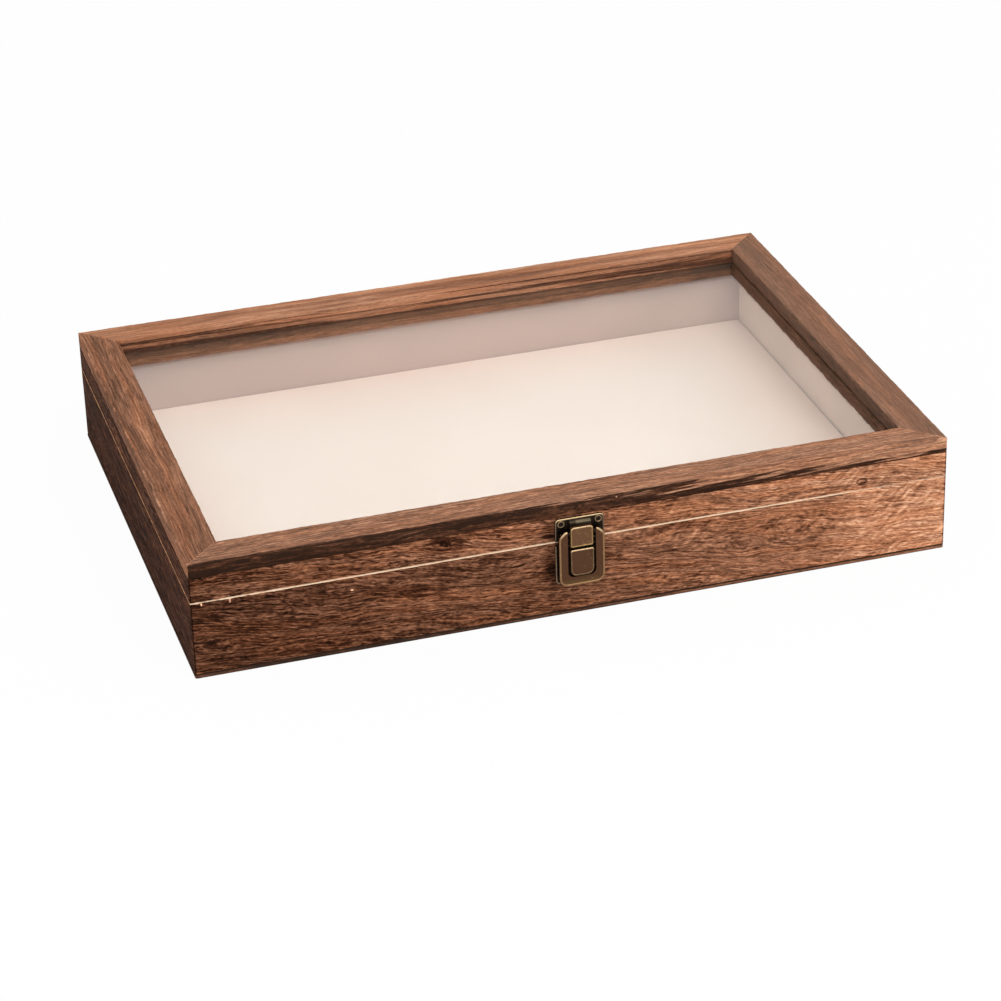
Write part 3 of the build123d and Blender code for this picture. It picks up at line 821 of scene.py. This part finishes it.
def cushion_sheet(name, low, high, rounding, material, seed):
    """A foam pad: a grid over the floor of the case whose height falls off in an arc at its edges.

    The height also has a soft unevenness, the mean of a few sines, so that the cover isn't dead flat.
    """
    columns, rows = 150, 106
    x, y = np.meshgrid(np.linspace(low.x, high.x, columns), np.linspace(low.y, high.y, rows))
    edge = np.array([0.0, 0.06, 0.2, 0.4, 0.66, 1.0]) * rounding
    rim = len(edge)
    x[:, :rim], x[:, -rim:] = low.x + edge, high.x - edge[::-1]
    y[:rim], y[-rim:] = low.y + edge[:, None], high.y - edge[::-1, None]
    near = np.minimum(np.minimum(x - low.x, high.x - x), np.minimum(y - low.y, high.y - y))
    short = np.clip(1 - near / rounding, 0, 1)
    fall = rounding * (1 - np.sqrt(1 - short ** 2))
    dents = 0.05 * MM * (0.5 + 0.5 * waves(x, y, seed, (90 * MM, 41 * MM, 23 * MM)))
    z = high.z - fall - dents * (1 - short)
    top = np.stack([x, y, z], axis=-1).reshape(-1, 3)
    here = np.arange(rows * columns).reshape(rows, columns)
    quads = np.stack([here[:-1, :-1], here[:-1, 1:], here[1:, 1:], here[1:, :-1]], axis=-1)
    border = np.concatenate([here[0], here[1:, -1], here[-1, -2::-1], here[-2:0:-1, 0]])
    base = top[border].copy()
    base[:, 2] = low.z
    below = len(top) + np.arange(len(border))
    sides = np.stack([border, np.roll(border, -1), np.roll(below, -1), below], axis=-1)
    faces = quads.reshape(-1, 4).tolist() + sides.tolist() + [below.tolist()]
    return build(name, np.concatenate([top, base]).tolist(), faces, material, angle=60.0)


def rounded_path(left, closed):
    """A path through corners on the left and then through their mirror images on the right.

    A corner is x, z and a radius in millimetres. It becomes a quadratic curve that starts and ends at that
    distance from it, but the ends of an open path stay as they are.
    """
    corners = np.array(left + [(-x, z, radius) for x, z, radius in reversed(left)], float)
    radii = corners[:, 2] * MM
    corners = corners[:, :2]
    points = []
    for index, corner in enumerate(corners):
        if not closed and index in (0, len(corners) - 1):
            points.append(corner[None, :])
            continue
        before = corners[index - 1] - corner
        after = corners[(index + 1) % len(corners)] - corner
        start = corner + before / np.linalg.norm(before) * radii[index]
        end = corner + after / np.linalg.norm(after) * radii[index]
        t = np.linspace(0, 1, 7)[:, None]
        points.append((1 - t) ** 2 * start + 2 * t * (1 - t) * corner + t ** 2 * end)
    return np.concatenate(points)


def circle(x, z, radius):
    """A circle of points round (x, z)."""
    turn = np.linspace(0, 2 * math.pi, 28, endpoint=False)
    return np.stack([x + radius * np.cos(turn), z + radius * np.sin(turn)], axis=-1)


def unit(rows):
    """Each row scaled to length 1."""
    return rows / np.linalg.norm(rows, axis=1)[:, None]


def bead_mesh(path, y, radius, flat, closed):
    """A rolled rim: an oval section carried along a path in an upright plane at depth y.

    A point of the section is radius times (cosine across the path, flat times sine along Y).
    """
    ahead = np.roll(path, -1, axis=0) - path
    behind = path - np.roll(path, 1, axis=0)
    if not closed:
        ahead[-1], behind[0] = behind[-1], ahead[0]
    tangent = unit(unit(ahead) + unit(behind))
    across = np.stack([tangent[:, 1], -tangent[:, 0]], axis=-1)
    turn = np.linspace(0, 2 * math.pi, RIM_POINTS, endpoint=False)
    x, z = (path[:, [axis]] + across[:, [axis]] * radius * np.cos(turn) for axis in (0, 1))
    depth = np.broadcast_to(y + flat * radius * np.sin(turn), x.shape)
    rings = np.stack([x, depth, z], axis=-1)
    if closed:
        rings = np.concatenate([rings, rings[:1]])
    rows, columns = rings.shape[:2]
    return rings.reshape(-1, 3), ring_faces(rows, columns, capped=not closed)


def eased_copy(name, node, width, material, front=None):
    """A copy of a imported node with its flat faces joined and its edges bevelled, for a stamped look.

    With a front, whatever stands out further along -Y above the panel is pressed flat to it.
    """
    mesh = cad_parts[node].data.copy()
    mesh.name = name
    work = bmesh.new()
    work.from_mesh(mesh)
    bmesh.ops.remove_doubles(work, verts=work.verts, dist=1e-6)
    if front is not None:
        for vert in work.verts:
            if vert.co.z > PANEL_TOP:
                vert.co.y = max(vert.co.y, front)
    bmesh.ops.dissolve_limit(work, angle_limit=math.radians(1.0), verts=work.verts, edges=work.edges)
    work.to_mesh(mesh)
    work.free()
    piece = as_piece(name, mesh, material, METAL_ANGLE)
    bevel = piece.modifiers.new("Edge", "BEVEL")
    bevel.width = width
    bevel.segments = 2
    bevel.limit_method = "ANGLE"
    bevel.angle_limit = math.radians(METAL_ANGLE)
    bevel.harden_normals = True
    return piece


def screw_mesh(x, z, y, head, length):
    """A countersunk screw: a radius along its axis spun round, its flat head pressed in by a cross.

    The pressing is deepest where both the distance to the nearer arm and to the head's edge allow it.
    """
    face_rings = 15
    shank = [head, SCREW_SHANK, SCREW_SHANK, SCREW_SHANK * 0.5, 0.0]
    radii = np.concatenate([[0.0], np.linspace(0.08, 1.0, face_rings - 1) * head, shank])
    cone = head - SCREW_SHANK + SCREW_RIM
    depths = np.concatenate([np.zeros(face_rings), [SCREW_RIM, cone, length - SCREW_SHANK, length, length]])
    turn = np.linspace(0, 2 * math.pi, 48, endpoint=False)
    px = radii[:, None] * np.cos(turn)[None, :]
    pz = radii[:, None] * np.sin(turn)[None, :]
    depth = np.broadcast_to(depths[:, None], px.shape).copy()
    arm = np.minimum(np.abs(px), np.abs(pz))
    within = np.clip((0.78 * head - np.hypot(px, pz)) / (0.1 * head), 0, 1)
    pressed = np.clip(1.6 - arm / (0.16 * head), 0, 1) * within
    depth[:face_rings] += SCREW_CROSS * pressed[:face_rings]
    points = np.stack([x + px, y - depth, z + pz], axis=-1)
    return points.reshape(-1, 3), ring_faces(*px.shape, capped=False)


def dress(piece, body, slot, *nodes):
    """The piece rides its body and stands for the nodes, which are hidden. The slot is not used."""
    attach(piece, body)
    if nodes:
        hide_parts(*nodes)
    return piece


def give(node, material):
    """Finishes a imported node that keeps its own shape."""
    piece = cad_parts[node]
    piece.data.materials.clear()
    piece.data.materials.append(material)


def four_planks(wood, part, node, body, seed, radii, chipping=None):
    """Builds and dresses a part's planks on the four sides. `node` has {} in place of the side."""
    for index, side in enumerate(SIDES):
        bare = None
        if part in BARE_EDGES:
            share, shown = BARE_EDGES[part][side]
            tint = SCORCHED_SEAM if side == "left" else tuple(wood.raw_colour)
            bare = (wood.raw_line * share, shown, part == "rim", tint)
        look = scorched_wood(f"{part}_wood_{side}", side, bare=bare, **LOOKS[part][side])
        inner_wear = chipping[side] if chipping else 1.0
        name = node.format(side)
        piece = plank(f"{part}_{side}", side, name, radii, wood, look, seed + index, inner_wear)
        dress(piece, body, "scorched_wood", name)


# Operators, one for each piece or group of like pieces

class CASE_OT_base_walls(bpy.types.Operator):
    """Four mitred walls of the base, scorched and brushed"""

    bl_idname = "case.base_walls"
    bl_label = "Base walls"

    def execute(self, context):
        wood = context.scene.case_wood
        four_planks(wood, "wall", "base_{}_wall", "base", 11, (wood.joint_round, SHARP, EASED, EASED))
        return {"FINISHED"}


class CASE_OT_board(bpy.types.Operator):
    """Thin bottom board with rounded corners"""

    bl_idname = "case.board"
    bl_label = "Bottom board"

    def execute(self, context):
        look = scorched_wood("board_wood", "front", **BOARD_LOOK)
        piece = slab("board", BOARD_LOW, BOARD_HIGH, 0.8 * MM, 0.4 * MM, look)
        dress(piece, "base", "board_wood", "bottom_board")
        return {"FINISHED"}


class CASE_OT_inside(bpy.types.Operator):
    """Lining on the walls and the pad that pins go into"""

    bl_idname = "case.inside"
    bl_label = "Lining and pad"

    def execute(self, context):
        inside = context.scene.case_inside
        for side in SIDES:
            # The right lining takes the paler paper: painted light.
            light = inside.pale_lining if side == "right" else inside.lining_colour
            give(f"lining_{side}", paper(f"lining_paper_{side}", tuple(light)))
        low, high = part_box("pinning_pad")
        cover = pad_cover("pad_cover", tuple(inside.pad_colour))
        pad = cushion_sheet("pad", low, high, inside.pad_round, cover, 31)
        dress(pad, "base", "pad_foam", "pinning_pad")
        return {"FINISHED"}


class CASE_OT_lid_wood(bpy.types.Operator):
    """Rim, mitred frame and glass beads of the lid"""

    bl_idname = "case.lid_wood"
    bl_label = "Lid wood"

    def execute(self, context):
        wood = context.scene.case_wood
        four_planks(wood, "rim", "lid_rim_{}", "lid", 21, (SHARP, wood.joint_round, EASED, EASED))
        radii = (wood.joint_round, wood.edge_round, ROUNDED, ROUNDED)
        four_planks(wood, "frame", "lid_frame_{}", "lid", 41, radii, FRAME_CHIPPING)
        looks = {
            "x": scorched_wood("bead_wood_long", "front", **LONG_BEAD_LOOK),
            "y": scorched_wood("bead_wood_short", "left", **SHORT_BEAD_LOOK),
        }
        radii = (EASED, EASED, ROUNDED, 0.6 * MM)
        for seed, (side, (along_axis, _)) in enumerate(SIDES.items(), 51):
            node = f"glass_bead_{side}"
            bead = plank(f"bead_{side}", side, node, radii, wood, looks[along_axis], seed, BEAD_CHIPPING)
            dress(bead, "lid", "bead_wood", node)
        return {"FINISHED"}


class CASE_OT_glass(bpy.types.Operator):
    """The pane under the frame"""

    bl_idname = "case.glass"
    bl_label = "Glass"

    def execute(self, context):
        give("glass_pane", clear_glass("clear_glass", context.scene.case_inside.glass_ior))
        return {"FINISHED"}


class CASE_OT_hinges(bpy.types.Operator):
    """Two butt hinges on the back with their pins and cross-head screws"""

    bl_idname = "case.hinges"
    bl_label = "Hinges"

    def execute(self, context):
        metal = context.scene.case_metal
        plate = bronze("hinge_bronze", metal.dark, metal.satin, 0.45, gloss=0.42)
        bright = bronze("hinge_pin_bronze", metal.dark, metal.worn, 0.8)
        for side in ("left", "right"):
            parts = (("base_leaf", "base", plate), ("lid_leaf", "lid", plate), ("pin", "base", bright))
            for part, body, look in parts:
                node = f"hinge_{part}_{side}"
                dress(eased_copy(f"{part}_{side}", node, metal.bevel, look), body, "antique_bronze", node)
        self.screws("base", bright)
        self.screws("lid", bright)
        return {"FINISHED"}

    def screws(self, body, look):
        """The screws of one body, at the corners of the leaves that they hold."""
        node = f"hinge_{body}_screws"
        low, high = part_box(node)
        head = (high.z - low.z) / 2
        z = (high.z + low.z) / 2
        inner = high.x - head - SCREW_SPREAD
        places = (-inner - SCREW_SPREAD, -inner, inner, inner + SCREW_SPREAD)
        verts, faces = joined(screw_mesh(x, z, high.y, head, high.y - low.y) for x in places)
        dress(build(f"{body}_screws", verts, faces, look, METAL_ANGLE), body, "antique_bronze", node)


class CASE_OT_latch(bpy.types.Operator):
    """The toggle latch: keeper, base plate, lever and tongue with their rolled rims"""

    bl_idname = "case.latch"
    bl_label = "Latch"

    def execute(self, context):
        metal = context.scene.case_metal
        black = bronze("latch_black", BLACKENED, metal.dark, 0.1)
        # The keeper's hook takes a painted highlight on its lit top.
        hook = bronze("latch_hook", BLACKENED, metal.dark, 0.1,
                      painted_highlight=(HOOK_FRONT, HOOK_LIT_FROM, HOOK_BEND, metal.hook))
        # The lever takes a painted shade on all that lies behind its front, the sides of its window.
        brown = bronze("latch_brown", metal.dark, metal.worn, 0.08,
                       lift=(FOOT_DARK, FOOT_PALE, srgb(112, 90, 58)),
                       sunk=(LEVER_FRONT + 0.5 * MM, srgb(34, 24, 17)))
        satin = bronze("latch_satin", metal.satin, metal.worn, 0.2, gloss=0.42)
        pieces = (
            ("keeper", "latch_keeper", "lid", hook),
            ("keeper_nails", "latch_keeper_nails", "lid", black),
            ("base_plate", "latch_base_plate", "base", black),
            ("base_nails", "latch_base_nails", "base", black),
            ("pivot_pins", "latch_pivot_pins", "base", black),
            ("lever", "latch_lever", "latch_lever", brown),
            ("tongue_pin", "latch_tongue_pin", "latch_lever", black),
            ("tongue", "latch_tongue", "latch_tongue", satin),
        )
        for name, node, body, look in pieces:
            front = LEVER_FRONT if name == "lever" else None
            dress(eased_copy(name, node, metal.bevel, look, front), body, "antique_bronze", node)
        self.rims(metal)
        return {"FINISHED"}

    def rims(self, metal):
        """Rolled rims along the outlines of the stamped plates, each half sunk in its plate's face.

        A rim's row is its name and body, the tone of its metal, how much of it is rubbed, the heights in
        millimetres between which a painted highlight brightens its upper run, and its runs as bead_mesh takes
        them.
        """
        rim = metal.rim
        fine = rim * 0.75
        low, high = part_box("latch_lever")
        outer = high.x - rim * 0.6
        top = high.z - 0.3 * MM
        lever = rounded_path([(-LEVER_WINDOW - rim * 0.6, top, 0.0), (LEVER_SHOULDER - outer, top, 0.55),
                              (-outer, top - LEVER_SHOULDER, 1.1), (-outer, low.z + rim, 3.5)], False)
        edge = fine - PANEL_HALF
        panel = rounded_path([(edge, PANEL_TOP - fine, 0.5), (edge, PANEL_LOW + fine, 2.6)], True)
        low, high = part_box("latch_tongue")
        edge = fine - high.x
        tongue = rounded_path([(edge, high.z - fine, 1.2), (edge, TONGUE_LOW, 0.4)], True)
        tongue_front = low.y + 0.12 * MM
        low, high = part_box("latch_keeper")
        edge = fine - high.x
        keeper = rounded_path([(edge, low.z + fine, 0.0), (edge, high.z - fine, 1.5)], False)
        eyelets = [(circle(x, high.z - NAIL_DROP, EYELET_RADIUS), PLATE_FRONT - 0.35 * MM, 0.3 * MM, 0.8, True)
                   for x in (-NAIL_X, NAIL_X)]
        low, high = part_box("latch_base_plate")
        edge = fine - high.x
        plate = rounded_path([(edge, BASE_PLATE_TOP - fine, 0.0), (edge, low.z + fine, 1.6)], False)
        table = (
            ("lever_rim", "latch_lever", (158, 122, 88), 0.3, (35.6, 37.4),
             [(lever, LEVER_FRONT, rim, 0.75, False)]),
            ("panel_rim", "latch_lever", (118, 96, 70), 0.25, (29.2, 30.0),
             [(panel, LEVER_FRONT - 0.38 * MM, fine, 0.6, True)]),
            ("tongue_rim", "latch_tongue", (158, 128, 84), 0.3, (38.6, 39.5),
             [(tongue, tongue_front, fine, 0.7, True)]),
            ("keeper_rim", "lid", (124, 104, 88), 0.15, (41.6, 42.6),
             [(keeper, PLATE_FRONT, fine, 0.7, False)]),
            ("keeper_eyelets", "lid", (134, 114, 88), 0.3, None, eyelets),
            ("base_plate_rim", "base", (150, 124, 102), 0.15, None, [(plate, PLATE_FRONT, fine, 0.7, False)]),
        )
        for name, body, tone, wear, heights, runs in table:
            # A painted highlight brightens each rim between its heights, along its upper run.
            lift = (heights[0] * MM, heights[1] * MM, metal.bright) if heights else None
            look = bronze(name, srgb(*tone), metal.worn, wear, lift=lift)
            verts, faces = joined(bead_mesh(*run) for run in runs)
            dress(build(name, verts, faces, look, angle=60.0), body, "antique_bronze")


class CASE_OT_stage(bpy.types.Operator):
    """White floor, soft light and the camera"""

    bl_idname = "case.stage"
    bl_label = "Stage"

    def execute(self, context):
        stage = context.scene.case_stage
        self.floor()
        self.sky(stage)
        self.lamp(stage)
        self.camera(stage)
        context.scene.view_settings.view_transform = "Standard"
        return {"FINISHED"}

    def floor(self):
        """A white floor that shows nearly white to the camera and keeps a faint shadow."""
        g = material_graph("floor_white")
        lit = g.add("ShaderNodeBsdfDiffuse", {}, {"Color": (0.86, 0.86, 0.86)})
        glow = g.add("ShaderNodeEmission", {}, {"Color": (1.0, 1.0, 1.0), "Strength": 1.0})
        mostly = g.add("ShaderNodeLightPath", output="Is Camera Ray") * 0.96
        look = g.finish(g.add("ShaderNodeMixShader", {}, {0: mostly, 1: lit, 2: glow}))
        half = FLOOR_HALF
        verts = [(-half, -half, 0.0), (half, -half, 0.0), (half, half, 0.0), (-half, half, 0.0)]
        mesh = bpy.data.meshes.new("floor")
        mesh.from_pydata(verts, [], [(0, 1, 2, 3)])
        mesh.materials.append(look)
        floor = placed("floor", mesh)

    def sky(self, stage):
        """Even light, and plain white where the camera, a reflection or a view through glass meets it."""
        world = bpy.data.worlds.new("studio")
        bpy.context.scene.world = world
        g = Graph(world)
        camera, glossy, through = [g.add("ShaderNodeLightPath", output=f"Is {kind} Ray")
                                   for kind in ("Camera", "Glossy", "Transmission")]
        seen = g.maths("MAXIMUM", g.maths("MAXIMUM", camera, glossy), through)
        strength = g.add("ShaderNodeMapRange", {}, {0: seen, 3: stage.world, 4: 1.0})
        background = g.add("ShaderNodeBackground", {}, {"Strength": strength})
        g.add("ShaderNodeOutputWorld", {}, {"Surface": background})

    def lamp(self, stage):
        """A large square lamp that faces the middle of the case."""
        light = bpy.data.lights.new("key", "AREA")
        light.energy = stage.key
        light.size = LAMP_SIZE
        holder = placed("key", light)
        holder.location = LAMP_PLACE
        holder.rotation_euler = (LAMP_AIM - LAMP_PLACE).to_track_quat("-Z", "Y").to_euler()

    def camera(self, stage):
        """The photograph's camera: in front and to the left, looking down a little."""
        lens = bpy.data.cameras.new("camera")
        lens.lens = stage.lens
        lens.sensor_width = SENSOR_WIDTH
        lens.clip_start = 0.05
        camera = placed("camera", lens)
        turn = Matrix((CAMERA_RIGHT, -CAMERA_DOWN, -CAMERA_FORWARD)).transposed().to_4x4()
        camera.matrix_world = Matrix.Translation(CAMERA_PLACE) @ turn
        bpy.context.scene.camera = camera


class CASE_PT_panel(bpy.types.Panel):
    """Lists the settings and the pieces"""

    bl_idname = "CASE_PT_panel"
    bl_label = "Display case"
    bl_space_type = "VIEW_3D"
    bl_region_type = "UI"
    bl_category = "Display case"

    def draw(self, context):
        for group in SETTINGS:
            settings = getattr(context.scene, group)
            for name in settings.__annotations__:
                self.layout.prop(settings, name)
        for operator in OPERATORS:
            self.layout.operator(operator.bl_idname)


SETTINGS = {
    "case_wood": WoodSettings,
    "case_inside": InsideSettings,
    "case_metal": MetalSettings,
    "case_stage": StageSettings,
}
OPERATORS = (
    CASE_OT_stage,
    CASE_OT_base_walls,
    CASE_OT_board,
    CASE_OT_inside,
    CASE_OT_lid_wood,
    CASE_OT_glass,
    CASE_OT_hinges,
    CASE_OT_latch,
)


CLASSES = (*SETTINGS.values(), *OPERATORS, CASE_PT_panel)


def register():
    for item in CLASSES:
        bpy.utils.register_class(item)
    for name, group in SETTINGS.items():
        setattr(bpy.types.Scene, name, PointerProperty(type=group))


def unregister():
    for name in SETTINGS:
        delattr(bpy.types.Scene, name)
    for item in reversed(CLASSES):
        bpy.utils.unregister_class(item)


def main():
    register()
    for operator in OPERATORS:
        group, name = operator.bl_idname.split(".")
        getattr(getattr(bpy.ops, group), name)()


if __name__ == "__main__":
    main()
